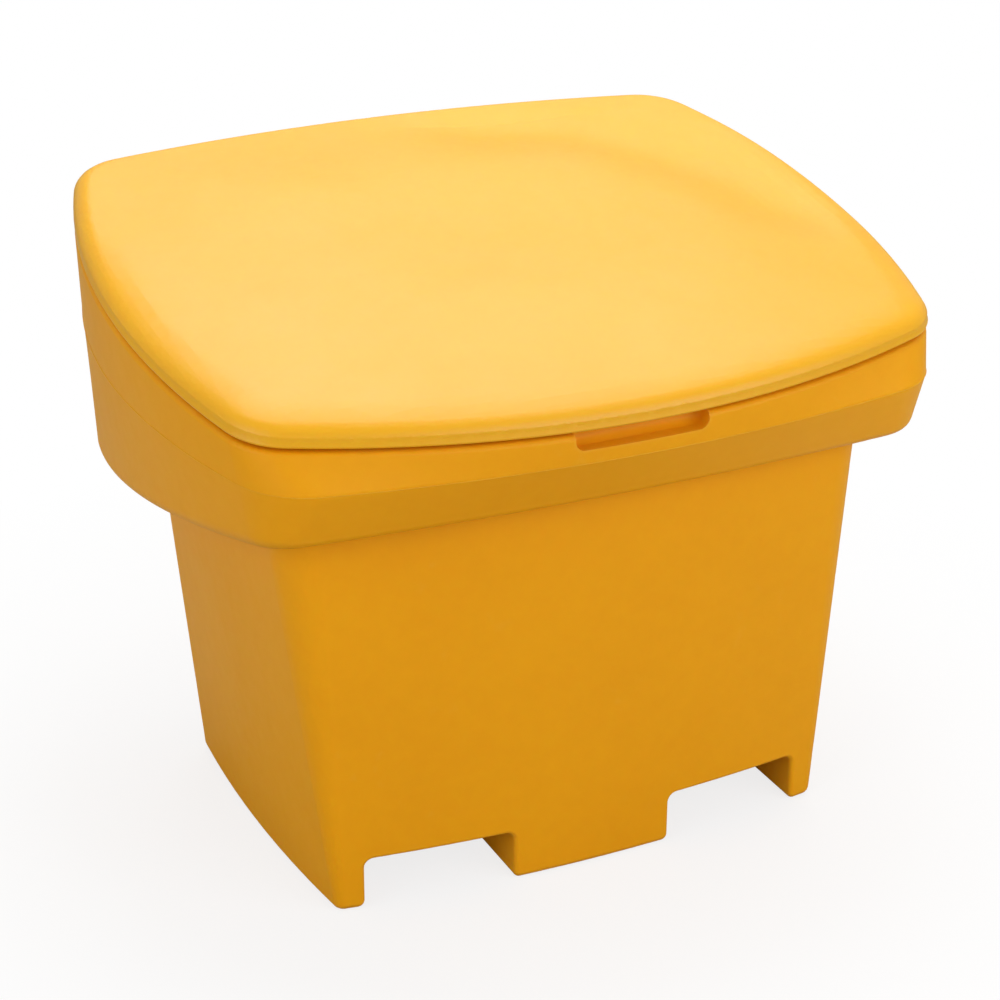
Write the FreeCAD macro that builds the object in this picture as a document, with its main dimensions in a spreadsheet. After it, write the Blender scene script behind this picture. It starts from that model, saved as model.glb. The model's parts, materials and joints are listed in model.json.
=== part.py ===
"""Forkable grit salt bin: a tapered rotomoulded tub with a wedge collar and a hinged hollow lid.

Frame: millimetres, +Z up, +X to the right seen from the front, the front faces -Y.
Origin: on the floor, below the middle of the bin's footprint.
"""
import FreeCAD, Part
import math
import os
import Sketcher

Vector = FreeCAD.Vector

doc = FreeCAD.newDocument("grit_salt_bin")
sheet = doc.addObject("Spreadsheet::Sheet", "Sizes")

# Driving dimensions: name, value in millimetres or degrees
SIZES = [
    # Tub walls, from the floor up to the neck inside the collar
    ("base_half_width", 350), ("base_front", 292), ("base_rear", 222), ("base_corner", 14),
    ("base_front_bow", 2070), ("base_side_bow", 2085), ("base_rear_bow", 2400),
    ("neck_half_width", 406), ("neck_front", 294), ("neck_rear", 232), ("neck_corner", 59),
    ("neck_front_bow", 2070), ("neck_side_bow", 2085), ("neck_rear_bow", 2400), ("neck_height", 530),
    ("wall", 6), ("foot_round", 10),
    # Fork pockets between the three skids
    ("fork_inner", 107.5), ("fork_outer", 298.5), ("fork_height", 67.5), ("fork_round", 12),
    ("fork_mouth_round", 6),
    # Collar outlines: the skirt at the bottom, the crease and the rim
    ("skirt_half_width", 466), ("skirt_front", 361), ("skirt_rear", 360), ("skirt_corner", 56),
    ("skirt_front_bow", 2770), ("skirt_side_bow", 1283), ("skirt_rear_bow", 2460),
    ("skirt_centre", 9), ("skirt_height", 454.5), ("skirt_tilt", -11), ("skirt_round", 26),
    ("neck_fillet", 8),
    ("crease_half_width", 487), ("crease_front", 390), ("crease_rear", 392), ("crease_corner", 98),
    ("crease_front_bow", 1906), ("crease_side_bow", 1003), ("crease_rear_bow", 2460),
    ("crease_centre", 0), ("crease_height", 603), ("crease_tilt", 1.7), ("crease_round", 10),
    ("rim_half_width", 493), ("rim_front", 398.5), ("rim_rear", 398.5), ("rim_corner", 82),
    ("rim_front_bow", 1172), ("rim_side_bow", 962), ("rim_rear_bow", 2460),
    ("rim_centre", 0), ("rim_height", 691.5), ("rim_tilt", 9.4), ("rim_round", 7),
    ("rim_width", 45), ("rim_thickness", 8), ("upstand_height", 15),
    # Hand recess in the front of the collar
    ("recess_half_width", 85), ("recess_depth", 30), ("recess_drop", 18), ("recess_round", 12),
    ("recess_floor_round", 12),
    # Lid: its edge, the crown above it, and the channel and pan below
    ("lid_gap", 5), ("lid_overhang", 0.5), ("lid_edge", 30), ("crown_height", 19),
    ("border_share", 0.86), ("border_rise", 3), ("crown_share", 0.6), ("crown_rise", 13),
    ("top_share", 0.3), ("lid_round", 22), ("lid_under_round", 4), ("lid_skin", 5),
    ("upstand_clearance", 1.5), ("channel_margin", 5), ("pan_margin", 11), ("pan_drop", 9),
    ("groove_half_width", 13), ("groove_half_length", 190), ("groove_pitch", 180), ("groove_rise", 20),
    ("groove_count", 4),
    # Hinges
    ("hinge_spread", 200), ("leaf_length", 90), ("leaf_thickness", 3), ("leaf_corner", 6),
    ("body_leaf_drop", 50), ("lid_leaf_reach", 42), ("knuckle_gap", 0.5), ("pin_radius", 4),
    ("pin_clearance", 0.05), ("pin_head_radius", 5.5), ("pin_head_length", 1.5), ("pad_front", 391.5),
    ("pad_margin", 8), ("pad_top_gap", 8), ("pad_thickness", 20),
    # Bolts through the rear wall, and what they hold
    ("bolt_radius", 3), ("bolt_clearance", 0.25), ("bolt_head_radius", 5.25), ("bolt_head_height", 3.3),
    ("bolt_pitch", 30), ("bolt_row_drop", 32), ("bolt_overrun", 2), ("key_reach", 2.3), ("key_depth", 2),
    ("plate_thickness", 3), ("plate_half_height", 12.5), ("washer_radius", 6), ("washer_thickness", 1.6),
    ("nut_across_flats", 10), ("nut_height", 6),
    # Screws up into the lid, and the inserts that take them
    ("screw_radius", 2.5), ("screw_head_radius", 5), ("screw_length", 14), ("screw_row_reach", 30.5),
    ("screw_clearance", 0.1), ("insert_radius", 4), ("insert_length", 14), ("insert_boss", 4),
    ("press_clearance", 0.05),
    # Stop heels at the lid's rear edge, and rubber buffers on the rim
    ("open_angle", 115), ("heel_spread", 90), ("heel_half_width", 22), ("heel_top", 8),
    ("heel_bottom", 26), ("heel_reach", 26), ("heel_bend", 9), ("rest_clearance", 0.3),
    ("buffer_radius", 9), ("buffer_stem_radius", 3.5), ("buffer_spread", 330), ("buffer_inset", 23),
    ("buffer_barb_radius", 4.5), ("buffer_barb_height", 6), ("buffer_round", 1.5),
]
for row, (name, size) in enumerate(SIZES, start=1):
    sheet.set("A%d" % row, name)
    sheet.set("B%d" % row, str(size))
    sheet.setAlias("B%d" % row, name)
doc.recompute()


def value(expression):
    """Return what an expression on the sheet is worth now."""
    result = sheet.evalExpression(expression)
    return float(getattr(result, "Value", result))


def bind(target, **expressions):
    """Tie properties of an object to expressions on the sheet; a double underscore stands for a dot."""
    for name, expression in expressions.items():
        target.setExpression(name.replace("__", "."), expression)


def new_body(name):
    """Add an empty body to the document."""
    body = doc.addObject("PartDesign::Body", name)
    body.Label = name
    return body


def origin_plane(body, role):
    """Find one of a body's own origin planes by its role."""
    return [plane for plane in body.Origin.OriginFeatures if plane.Role == role][0]


def new_sketch(body, name, role="XY_Plane"):
    """Add a sketch that lies flat on one of the body's origin planes."""
    sketch = body.newObject("Sketcher::SketchObject", name)
    sketch.AttachmentSupport = [(origin_plane(body, role), "")]
    sketch.MapMode = "FlatFace"
    return sketch


def tie(sketch, kind, expression, *references):
    """Add a dimensional constraint that an expression on the sheet drives."""
    index = sketch.addConstraint(Sketcher.Constraint(kind, *references, value(expression)))
    sketch.setExpression("Constraints[%d]" % index, expression)


def bowed_outline(sketch, half_width, front, rear, corner, front_bow, side_bow, rear_bow):
    """Draw a rounded rectangle with bowed sides; front and rear are its depths from the origin."""
    a, r = value(half_width), value(corner)
    bows = [value(front_bow), value(side_bow), value(rear_bow), value(side_bow)]
    centres = [Vector(0, bows[0] - value(front), 0), Vector(a - bows[1], 0, 0),
               Vector(0, value(rear) - bows[2], 0), Vector(bows[3] - a, 0, 0)]
    signs = [(1, -1), (1, 1), (-1, 1), (-1, -1)]
    corners = []
    for side in range(4):
        first, second = centres[side], centres[(side + 1) % 4]
        reach_one, reach_two = bows[side] - r, bows[(side + 1) % 4] - r
        corners.append(crossing(first, reach_one, second, reach_two, signs[side]))
    for side in range(4):
        before, after = corners[side - 1], corners[side]
        sketch.addGeometry(arc_between(centres[side], bows[side], before, after))
        sketch.addGeometry(arc_between(corners[side], r, centres[side], centres[(side + 1) % 4], True))
    for index in range(8):
        sketch.addConstraint(Sketcher.Constraint("Tangent", index, 2, (index + 1) % 8, 1))
    for index in (0, 4):
        sketch.addConstraint(Sketcher.Constraint("PointOnObject", index, 3, -2))
    for index in (2, 6):
        sketch.addConstraint(Sketcher.Constraint("PointOnObject", index, 3, -1))
    for index, bow in ((0, front_bow), (2, side_bow), (4, rear_bow), (6, side_bow)):
        tie(sketch, "Radius", bow, index)
    for index in (1, 3, 5, 7):
        tie(sketch, "Radius", corner, index)
    tie(sketch, "DistanceY", "(%s) - (%s)" % (front_bow, front), -1, 1, 0, 3)
    tie(sketch, "DistanceX", "(%s) - (%s)" % (half_width, side_bow), -1, 1, 2, 3)
    tie(sketch, "DistanceY", "(%s) - (%s)" % (rear, rear_bow), -1, 1, 4, 3)
    tie(sketch, "DistanceX", "(%s) - (%s)" % (side_bow, half_width), -1, 1, 6, 3)


def crossing(first, reach_one, second, reach_two, sign):
    """Return the crossing of two circles that lies in the quadrant given by two signs."""
    across = second - first
    apart = across.Length
    along = (reach_one ** 2 - reach_two ** 2 + apart ** 2) / (2 * apart)
    aside = math.sqrt(reach_one ** 2 - along ** 2)
    unit = across / apart
    normal = Vector(-unit.y, unit.x, 0)
    found = [first + unit * along + normal * aside, first + unit * along - normal * aside]
    return [point for point in found if point.x * sign[0] > 0 and point.y * sign[1] > 0][0]


def arc_between(centre, radius, start, end, away=False):
    """Return an arc about a centre from the direction of one point to that of another."""
    towards = -1 if away else 1
    first, last = (start - centre) * towards, (end - centre) * towards
    circle = Part.Circle(centre, Vector(0, 0, 1), radius)
    return Part.ArcOfCircle(circle, math.atan2(first.y, first.x), math.atan2(last.y, last.x))


def level(sketch, centre, height, tilt):
    """Lift a sketch to a height and tilt it about the width axis, up towards the rear."""
    sketch.AttachmentOffset = FreeCAD.Placement(Vector(0, value(centre), value(height)),
                                                FreeCAD.Rotation(Vector(1, 0, 0), value(tilt)))
    bind(sketch, AttachmentOffset__Base__y=centre, AttachmentOffset__Base__z=height,
         AttachmentOffset__Rotation__Angle=tilt)


def settle(feature):
    """Recompute, and stop the build where a feature failed or changed nothing."""
    before = feature.BaseFeature.Shape.Volume if feature.BaseFeature else 0.0
    doc.recompute()
    shape = feature.Shape
    if "Invalid" in feature.State or shape.isNull() or not shape.isValid():
        raise RuntimeError("%s failed" % feature.Label)
    if abs(shape.Volume - before) < 1e-6:
        raise RuntimeError("%s changed nothing" % feature.Label)
    return feature


def ring(body, name, part, height, tilt="0", centre="0", inset="0"):
    """Add a bowed outline of the tub, moved in by an inset, at a height and a tilt."""
    sketch = new_sketch(body, name)
    bowed_outline(sketch, *["Sizes.%s_%s - (%s)" % (part, size, inset) for size in OUTLINE_SIZES])
    level(sketch, centre, height, tilt)
    return sketch


def collar_ring(body, name, part, inset="0", lift="0"):
    """Add one of the collar's tilted outlines, moved in by an inset and up by a lift."""
    return ring(body, name, part, "Sizes.%s_height + (%s)" % (part, lift), "Sizes.%s_tilt" % part,
                "Sizes.%s_centre" % part, inset)


def front_view(body, name, depth):
    """Add an upright sketch that faces the front, at a depth measured towards the rear."""
    sketch = new_sketch(body, name, "XZ_Plane")
    sketch.AttachmentOffset = FreeCAD.Placement(Vector(0, 0, -value(depth)), FreeCAD.Rotation())
    bind(sketch, AttachmentOffset__Base__z="-(%s)" % depth)
    return sketch


def side_view(body, name, x):
    """Add an upright sketch that faces the right, at a place along the width."""
    sketch = new_sketch(body, name, "YZ_Plane")
    sketch.AttachmentOffset = FreeCAD.Placement(Vector(0, 0, value(x)), FreeCAD.Rotation())
    bind(sketch, AttachmentOffset__Base__z=x)
    return sketch


def plan_view(body, name, height):
    """Add a level sketch at a height."""
    sketch = new_sketch(body, name)
    level(sketch, "0", height, "0")
    return sketch


def loft(body, name, rings, ruled=True):
    """Loft walls through rings, straight ones or smooth ones."""
    feature = body.newObject("PartDesign::AdditiveLoft", name)
    feature.Profile = rings[0]
    feature.Sections = rings[1:]
    feature.Ruled = ruled
    return settle(feature)


def pad(body, name, sketch, length, reverse=False, symmetric=False, kind="Pad", taper=0):
    """Thicken a sketch into the body, or cut it from the body."""
    feature = body.newObject("PartDesign::%s" % kind, name)
    feature.Profile = sketch
    feature.Reversed = reverse
    feature.SideType = "Symmetric" if symmetric else "One side"
    feature.TaperAngle = taper
    bind(feature, Length=length)
    return settle(feature)


def pocket(body, name, sketch, length, reverse=False, symmetric=False, taper=0):
    """Cut a sketch from the body."""
    return pad(body, name, sketch, length, reverse, symmetric, "Pocket", taper)


def fillet(body, name, radius, edges):
    """Round the edges of the body's last feature."""
    numbers = [index for index, edge in enumerate(body.Shape.Edges, start=1)
               if any(edge.isSame(chosen) for chosen in edges)]
    base = body.Tip
    feature = body.newObject("PartDesign::Fillet", name)
    feature.Base = (base, ["Edge%d" % number for number in numbers])
    bind(feature, Radius=radius)
    return settle(feature)


def on_plane(shape, point, normal, slack=0.05):
    """Tell whether every corner and the middle of a face or an edge lie on a plane."""
    spots = [vertex.Point for vertex in shape.Vertexes]
    if shape.ShapeType == "Edge":
        spots.append(shape.valueAt((shape.FirstParameter + shape.LastParameter) / 2))
    else:
        spots.append(shape.CenterOfMass)
    return all(abs((spot - point).dot(normal)) < slack for spot in spots)


def edges_on_plane(body, point, normal):
    """Return a body's edges that lie on a plane."""
    return [edge for edge in body.Shape.Edges if on_plane(edge, point, normal)]


def plane_of(part, lift=0.0):
    """Return a point on one of the collar's tilted planes and the plane's normal."""
    tilt = math.radians(value("Sizes.%s_tilt" % part))
    point = Vector(0, value("Sizes.%s_centre" % part), value("Sizes.%s_height" % part) + lift)
    return point, Vector(0, -math.sin(tilt), math.cos(tilt))


def plane_faces(body, point, normal):
    """Return a body's flat faces that lie on a plane, the largest first."""
    found = [face for face in body.Shape.Faces if on_plane(face, point, normal)]
    return sorted(found, key=lambda face: -face.Area)


def polygon(sketch, points):
    """Draw straight lines through points that are given as pairs of expressions."""
    first = sketch.GeometryCount
    spots = [Vector(value(x), value(y), 0) for x, y in points]
    count = len(points)
    for index in range(count):
        sketch.addGeometry(Part.LineSegment(spots[index], spots[(index + 1) % count]))
    for index in range(count):
        follower = first + (index + 1) % count
        sketch.addConstraint(Sketcher.Constraint("Coincident", first + index, 2, follower, 1))
    for index, (x, y) in enumerate(points):
        tie(sketch, "DistanceX", x, -1, 1, first + index, 1)
        tie(sketch, "DistanceY", y, -1, 1, first + index, 1)


def rectangle(sketch, left, right, low, high, corner=None):
    """Draw a rectangle with four equal round corners, or with sharp ones."""
    if corner is None:
        polygon(sketch, [(left, low), (right, low), (right, high), (left, high)])
        return
    x0, x1, y0, y1, r = value(left), value(right), value(low), value(high), value(corner)
    first = sketch.GeometryCount
    sides = [(Vector(x0 + r, y0, 0), Vector(x1 - r, y0, 0)), (Vector(x1, y0 + r, 0), Vector(x1, y1 - r, 0)),
             (Vector(x1 - r, y1, 0), Vector(x0 + r, y1, 0)), (Vector(x0, y1 - r, 0), Vector(x0, y0 + r, 0))]
    centres = [Vector(x1 - r, y0 + r, 0), Vector(x1 - r, y1 - r, 0),
               Vector(x0 + r, y1 - r, 0), Vector(x0 + r, y0 + r, 0)]
    for turn, (start, end) in enumerate(sides):
        sketch.addGeometry(Part.LineSegment(start, end))
        angle = math.radians(90 * turn - 90)
        circle = Part.Circle(centres[turn], Vector(0, 0, 1), r)
        sketch.addGeometry(Part.ArcOfCircle(circle, angle, angle + math.pi / 2))
    for index in range(8):
        follower = first + (index + 1) % 8
        sketch.addConstraint(Sketcher.Constraint("Tangent", first + index, 2, follower, 1))
    for side, way in ((0, "Horizontal"), (4, "Horizontal"), (2, "Vertical"), (6, "Vertical")):
        sketch.addConstraint(Sketcher.Constraint(way, first + side))
    for turn in (1, 3, 5):
        sketch.addConstraint(Sketcher.Constraint("Equal", first + turn, first + 7))
    tie(sketch, "Radius", corner, first + 7)
    tie(sketch, "DistanceY", low, -1, 1, first, 1)
    tie(sketch, "DistanceY", high, -1, 1, first + 4, 1)
    tie(sketch, "DistanceX", left, -1, 1, first + 6, 1)
    tie(sketch, "DistanceX", right, -1, 1, first + 2, 1)


def round_holes(sketch, places, *radii):
    """Draw circles of one or more radii round every place, given as a pair of expressions."""
    for x, y in places:
        for radius in radii:
            circle = Part.Circle(Vector(value(x), value(y), 0), Vector(0, 0, 1), value(radius))
            index = sketch.addGeometry(circle)
            tie(sketch, "Radius", radius, index)
            tie(sketch, "DistanceX", x, -1, 1, index, 3)
            tie(sketch, "DistanceY", y, -1, 1, index, 3)


def hexagons(sketch, places, reach):
    """Draw a hexagon round every place, with its corners at a reach from the middle."""
    for x, y in places:
        polygon(sketch, [("%s + %s * cos(%d)" % (x, reach, angle), "%s + %s * sin(%d)" % (y, reach, angle))
                         for angle in range(0, 360, 60)])


def set_on_rim(target, y, z):
    """Set a sub-part that is drawn level down on the tilted rim."""
    target.Placement = FreeCAD.Placement(Vector(0, value(y), value(z)),
                                         FreeCAD.Rotation(Vector(1, 0, 0), value("Sizes.rim_tilt")))
    bind(target, Placement__Base__y=y, Placement__Base__z=z, Placement__Rotation__Angle="Sizes.rim_tilt")
    doc.recompute()


def cut_away(name, form, hollow):
    """Cut a hollow from a form, so that a moulded skin is left."""
    shell = doc.addObject("Part::Cut", name)
    shell.Label = name
    shell.Base, shell.Tool = form, hollow
    shell.Refine = False
    doc.recompute()
    return shell


# Places that several pieces share
OUTLINE_SIZES = ["half_width", "front", "rear", "corner", "front_bow", "side_bow", "rear_bow"]
SIDES = [("left", "-1"), ("right", "1")]
KNUCKLE = "(Sizes.pin_radius + Sizes.pin_clearance + Sizes.leaf_thickness)"
LID_Y = "(Sizes.rim_centre - Sizes.lid_gap * sin(Sizes.rim_tilt))"
LID_Z = "(Sizes.rim_height + Sizes.lid_gap * cos(Sizes.rim_tilt))"
AXIS_Y = "(Sizes.pad_front + %s)" % KNUCKLE
AXIS_REACH = "((%s - %s - %s * sin(Sizes.rim_tilt)) / cos(Sizes.rim_tilt))" % (AXIS_Y, LID_Y, KNUCKLE)
AXIS_Z = "(%s + %s * sin(Sizes.rim_tilt) - %s * cos(Sizes.rim_tilt))" % (LID_Z, AXIS_REACH, KNUCKLE)
BOLT_Z = "(%s - Sizes.bolt_row_drop)" % AXIS_Z
PAD_BACK = "(Sizes.pad_front - Sizes.pad_thickness)"


def row_along(sign, y):
    """Return three places along one hinge, at the bolts' pitch."""
    return [("%s * Sizes.hinge_spread + %d * Sizes.bolt_pitch" % (sign, step), y) for step in (-1, 0, 1)]


BOLT_PLACES = row_along("-1", BOLT_Z) + row_along("1", BOLT_Z)
SCREW_Y = "%s - Sizes.screw_row_reach" % AXIS_REACH
SCREW_PLACES = row_along("-1", SCREW_Y) + row_along("1", SCREW_Y)
BUFFER_Y = ("(Sizes.rim_front_bow - Sizes.rim_front + Sizes.buffer_inset"
            " - sqrt(Sizes.rim_front_bow ^ 2 - Sizes.buffer_spread ^ 2))")
BUFFER_PLACES = [("%s * Sizes.buffer_spread" % sign, BUFFER_Y) for _, sign in SIDES]

# Tub, outside form: straight tapered walls and the wedge collar round the mouth
tub_form = new_body("tub_form")
loft(tub_form, "TubWalls", [ring(tub_form, "floor_outline", "base", "0"),
                            ring(tub_form, "neck_outline", "neck", "Sizes.neck_height")])
collar_rings = [collar_ring(tub_form, part + "_outline", part) for part in ("skirt", "crease", "rim")]
loft(tub_form, "Collar", collar_rings)
underside = plane_faces(tub_form, *plane_of("skirt"))[0]
fillet(tub_form, "SkirtRound", "Sizes.skirt_round", underside.OuterWire.Edges)
underside = plane_faces(tub_form, *plane_of("skirt"))[0]
inner_wires = [wire for wire in underside.Wires if not wire.isSame(underside.OuterWire)]
fillet(tub_form, "NeckFillet", "Sizes.neck_fillet", [edge for wire in inner_wires for edge in wire.Edges])
fillet(tub_form, "CreaseRound", "Sizes.crease_round", edges_on_plane(tub_form, *plane_of("crease")))

# Rim: rounded outer edge, an upstand that keeps rain out of the mouth, and holes for the buffers
rim_face = plane_faces(tub_form, *plane_of("rim"))[0]
fillet(tub_form, "RimRound", "Sizes.rim_round", rim_face.OuterWire.Edges)
pad(tub_form, "Upstand", collar_ring(tub_form, "upstand_outline", "rim", "Sizes.rim_width"),
    "Sizes.upstand_height")
buffer_holes = new_sketch(tub_form, "buffer_holes")
round_holes(buffer_holes, BUFFER_PLACES, "Sizes.buffer_stem_radius + Sizes.press_clearance")
level(buffer_holes, "Sizes.rim_centre", "Sizes.rim_height", "Sizes.rim_tilt")
pocket(tub_form, "BufferHoles", buffer_holes, "2 * Sizes.rim_thickness")


# Hinge pads: flat raised places on the collar's rear wall
def pad_outlines(sketch, grow):
    """Draw both hinge pads' outlines, grown all round."""
    reach = "(Sizes.leaf_length / 2 + Sizes.pad_margin + %s)" % grow
    for _, sign in SIDES:
        middle = "%s * Sizes.hinge_spread" % sign
        rectangle(sketch, "%s - %s" % (middle, reach), "%s + %s" % (middle, reach),
                  "%s - Sizes.body_leaf_drop - Sizes.pad_margin - %s" % (AXIS_Z, grow),
                  "%s - Sizes.pad_top_gap + %s" % (AXIS_Z, grow), "Sizes.leaf_corner + Sizes.pad_margin")


pads = front_view(tub_form, "hinge_pad_outline", "Sizes.pad_front")
pad_outlines(pads, "0")
pad(tub_form, "HingePads", pads, "Sizes.pad_thickness")

# Hand recess in the front of the collar, open at the top so that fingers reach the lid's edge
RIM_FRONT_Y = "(Sizes.rim_centre - Sizes.rim_front * cos(Sizes.rim_tilt))"
RIM_FRONT_Z = "(Sizes.rim_height - Sizes.rim_front * sin(Sizes.rim_tilt))"
RECESS_LOW = "(%s - Sizes.recess_drop)" % RIM_FRONT_Z
RECESS_BACK = "(%s + Sizes.recess_depth)" % RIM_FRONT_Y


def recess_outline(sketch, grow):
    """Draw the hand recess from the front, grown sideways and downwards."""
    rectangle(sketch, "-Sizes.recess_half_width - %s" % grow, "Sizes.recess_half_width + %s" % grow,
              "%s - %s" % (RECESS_LOW, grow), "%s + Sizes.rim_width" % RIM_FRONT_Z,
              "Sizes.recess_round + %s" % grow)


recess = front_view(tub_form, "recess_outline", RECESS_BACK)
recess_outline(recess, "0")
pocket(tub_form, "HandRecess", recess, "Sizes.recess_depth + Sizes.rim_width", reverse=True)
floor_top = value(RECESS_LOW) + value("Sizes.recess_round") + 1
back_edges = edges_on_plane(tub_form, Vector(0, value(RECESS_BACK), 0), Vector(0, 1, 0))
fillet(tub_form, "RecessFloorRound", "Sizes.recess_floor_round",
       [edge for edge in back_edges if edge.BoundBox.ZMax < floor_top])

# Fork pockets: two channels that run right through from front to rear and leave three skids
THROUGH = "(2 * (Sizes.base_front + Sizes.base_rear))"


def fork_outlines(sketch, grow):
    """Draw both fork pockets from the front, grown by a wall."""
    for _, sign in SIDES:
        ends = ["%s * (Sizes.fork_inner - %s)" % (sign, grow), "%s * (Sizes.fork_outer + %s)" % (sign, grow)]
        left, right = sorted(ends, key=value)
        rectangle(sketch, left, right, "-Sizes.fork_height", "Sizes.fork_height + %s" % grow,
                  "Sizes.fork_round + %s" % grow)


def fork_mouth_edges():
    """Return the edges round the fork pockets where they break out through the front and rear walls."""
    found = []
    middle = (value("Sizes.fork_inner") + value("Sizes.fork_outer")) / 2
    reach = (value("Sizes.fork_outer") - value("Sizes.fork_inner")) / 2 + 1
    depth = min(value("Sizes.base_front"), value("Sizes.base_rear")) / 2
    for edge in tub_form.Shape.Edges:
        box = edge.BoundBox
        beside = abs(abs(box.Center.x) - middle) + box.XLength / 2 < reach
        low = 0.01 < box.ZMax < value("Sizes.fork_height") + 1
        if beside and low and (box.YMax < -depth or box.YMin > depth):
            found.append(edge)
    return found


forks = front_view(tub_form, "fork_outline", "0")
fork_outlines(forks, "0")
pocket(tub_form, "ForkPockets", forks, THROUGH, symmetric=True)
fillet(tub_form, "ForkMouthRound", "Sizes.fork_mouth_round", fork_mouth_edges())
feet = plane_faces(tub_form, Vector(0, 0, 0), Vector(0, 0, 1))
fillet(tub_form, "FootRound", "Sizes.foot_round", [edge for face in feet for edge in face.OuterWire.Edges])

# Bolt holes through the hinge pads
bolt_holes = front_view(tub_form, "bolt_holes", "Sizes.pad_front + Sizes.wall")
round_holes(bolt_holes, BOLT_PLACES, "Sizes.bolt_radius + Sizes.bolt_clearance")
pocket(tub_form, "BoltHoles", bolt_holes, "Sizes.pad_thickness + 3 * Sizes.wall", reverse=True)

# Tub, inside form: the outside moved in by the wall, less what stands up or in from the wall
tub_hollow = new_body("tub_hollow")
inside_floor = ring(tub_hollow, "inside_floor", "base", "Sizes.wall", inset="Sizes.wall")
inside_neck = ring(tub_hollow, "inside_neck", "neck", "Sizes.neck_height", inset="Sizes.wall")
loft(tub_hollow, "InsideWalls", [inside_floor, inside_neck])
inside_skirt = collar_ring(tub_hollow, "inside_skirt", "skirt", "Sizes.wall", "Sizes.wall")
inside_crease = collar_ring(tub_hollow, "inside_crease", "crease", "Sizes.wall")
inside_rim = collar_ring(tub_hollow, "inside_rim", "rim", "Sizes.wall", "-Sizes.rim_thickness")
loft(tub_hollow, "InsideCollar", [inside_skirt, inside_crease, inside_rim])
shelf = plane_faces(tub_hollow, *plane_of("skirt", value("Sizes.wall")))[0]
fillet(tub_hollow, "InsideSkirtRound", "Sizes.skirt_round - Sizes.wall", shelf.OuterWire.Edges)
mouth = collar_ring(tub_hollow, "mouth_outline", "rim", "Sizes.rim_width + Sizes.wall",
                    "-Sizes.rim_thickness - Sizes.wall")
pad(tub_hollow, "Mouth", mouth, "Sizes.rim_thickness + 2 * Sizes.wall + Sizes.upstand_height")
humps = front_view(tub_hollow, "hump_outline", "0")
fork_outlines(humps, "Sizes.wall")
pocket(tub_hollow, "ForkHumps", humps, THROUGH, symmetric=True)
inner_pads = front_view(tub_hollow, "inner_pad_outline", PAD_BACK)
pad_outlines(inner_pads, "Sizes.wall")
pocket(tub_hollow, "InnerPads", inner_pads, "Sizes.pad_thickness + Sizes.wall")
recess_wall = front_view(tub_hollow, "recess_wall_outline", RECESS_BACK + " + Sizes.wall")
recess_outline(recess_wall, "Sizes.wall")
pocket(tub_hollow, "RecessWall", recess_wall, "Sizes.recess_depth + Sizes.rim_width", reverse=True)
tub = cut_away("tub", tub_form, tub_hollow)


# Lid: a hollow, crowned, double-skinned shell, drawn level and then set down on the tilted rim
CHANNEL_INSET = "(Sizes.rim_width - Sizes.channel_margin)"
CHANNEL_DEPTH = "(Sizes.upstand_height - Sizes.lid_gap + Sizes.upstand_clearance)"
PAN_INSET = "(Sizes.rim_width + Sizes.wall + Sizes.pan_margin)"
CROWN_STEPS = [("1", "0"), ("Sizes.border_share", "Sizes.border_rise"),
               ("Sizes.crown_share", "Sizes.crown_rise"), ("Sizes.top_share", "Sizes.crown_height")]


def crown_rings(body, inset):
    """Add the outlines that the crown is lofted through, each a smaller copy of the lid's outline."""
    rings = []
    for number, (share, rise) in enumerate(CROWN_STEPS, start=1):
        height = "Sizes.lid_edge + %s - %s" % (rise, inset)
        sketch = plan_view(body, "%s_crown_%d" % (body.Label, number), height)
        bowed_outline(sketch, *["%s * (Sizes.rim_%s + Sizes.lid_overhang) - %s" % (share, size, inset)
                                for size in OUTLINE_SIZES])
        rings.append(sketch)
    return rings


def lid_skin(body, inset):
    """Build the lid's outside, or with an inset the surface inside its skin."""
    edge = ring(body, "%s_edge" % body.Label, "rim", inset, inset="%s - Sizes.lid_overhang" % inset)
    pad(body, body.Label + "Edge", edge, "Sizes.lid_edge - 2 * %s" % inset)
    loft(body, body.Label + "Crown", crown_rings(body, inset), ruled=False)
    shoulder = Vector(0, 0, value("Sizes.lid_edge - %s" % inset))
    fillet(body, body.Label + "Round", "Sizes.lid_round - %s" % inset,
           edges_on_plane(body, shoulder, Vector(0, 0, 1)))
    channel = ring(body, "%s_channel" % body.Label, "rim", inset, inset="%s - %s" % (CHANNEL_INSET, inset))
    pocket(body, body.Label + "Channel", channel, CHANNEL_DEPTH, reverse=True)
    pan = ring(body, "%s_pan" % body.Label, "rim", "%s - Sizes.pan_drop" % inset,
               inset="%s + %s" % (PAN_INSET, inset))
    pad(body, body.Label + "Pan", pan, "%s + Sizes.pan_drop" % CHANNEL_DEPTH)


def groove_outlines(body, grow):
    """Add a sketch of the pan's stiffening grooves, grown all round."""
    sketch = plan_view(body, "%s_grooves" % body.Label, "-Sizes.pan_drop")
    across, along = "(Sizes.groove_half_width + %s)" % grow, "(Sizes.groove_half_length + %s)" % grow
    for number in range(int(value("Sizes.groove_count"))):
        middle = "Sizes.groove_pitch * (%d - (Sizes.groove_count - 1) / 2)" % number
        rectangle(sketch, "%s - %s" % (middle, across), "%s + %s" % (middle, across), "-" + along, along,
                  across + " - 1")
    return sketch


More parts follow.
